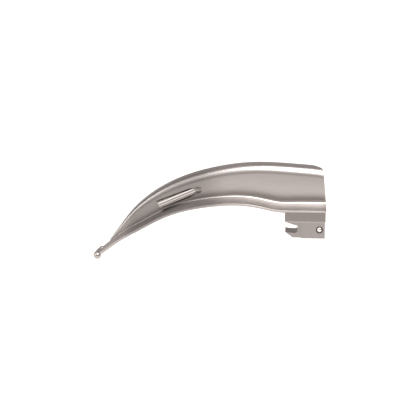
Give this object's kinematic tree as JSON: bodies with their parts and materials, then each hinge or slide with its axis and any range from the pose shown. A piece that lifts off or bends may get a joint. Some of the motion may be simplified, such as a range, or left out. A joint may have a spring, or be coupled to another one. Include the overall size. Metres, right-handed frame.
{
  "type": "curved laryngoscope blade",
  "caption": "Curved steel laryngoscope blade: hook-on heel with sprung ball detents, Z-section web and flange, beaded tip and a fibre light guide set into the web.",
  "frame": {"origin": "centre of the hook's half-round seat, on the heel block's mid-width plane", "axes": "+X towards the rear of the heel, -X towards the tip; +Y to the blade's left, where the flange is; +Z from the heel's base towards the flange"},
  "size_m": [0.1302, 0.0235, 0.0527],
  "materials": {
    "satin_steel": "satin brushed along the blade",
    "block_steel": "matt machined",
    "pin_steel": "ground",
    "polished_steel": "mirror polished",
    "carrier_steel": "satin",
    "sleeve_steel": "turned",
    "spring_steel": "drawn wire",
    "glass_fibre": "polished ends"
  },
  "bodies": {
    "blade_body": {"blade": "satin_steel", "heel_block": "block_steel", "heel_dowels": "pin_steel", "light_tube": "polished_steel", "fibre_bundle": "glass_fibre", "light_carrier": "carrier_steel", "carrier_screw": "pin_steel", "entry_ferrule": "polished_steel", "tube_saddle": "carrier_steel", "detent_sleeve_right": "sleeve_steel", "detent_sleeve_left": "sleeve_steel", "detent_spring_right": "spring_steel", "detent_spring_left": "spring_steel"},
    "detent_ball_right": {"detent_ball_right": "polished_steel"},
    "detent_ball_left": {"detent_ball_left": "polished_steel"}
  },
  "joints": [
    {"name": "detent_press_right", "type": "slide", "parent": "blade_body", "child": "detent_ball_right", "axis": [0, 1, 0], "range_m": [0, 0.0008], "stiffness_N_per_m": 3000, "springref_m": -0.0005, "deforming": ["detent_spring_right"]},
    {"name": "detent_press_left", "type": "slide", "parent": "blade_body", "child": "detent_ball_left", "axis": [0, -1, 0], "range_m": [0, 0.0008], "stiffness_N_per_m": 3000, "springref_m": -0.0005, "deforming": ["detent_spring_left"]}
  ]
}
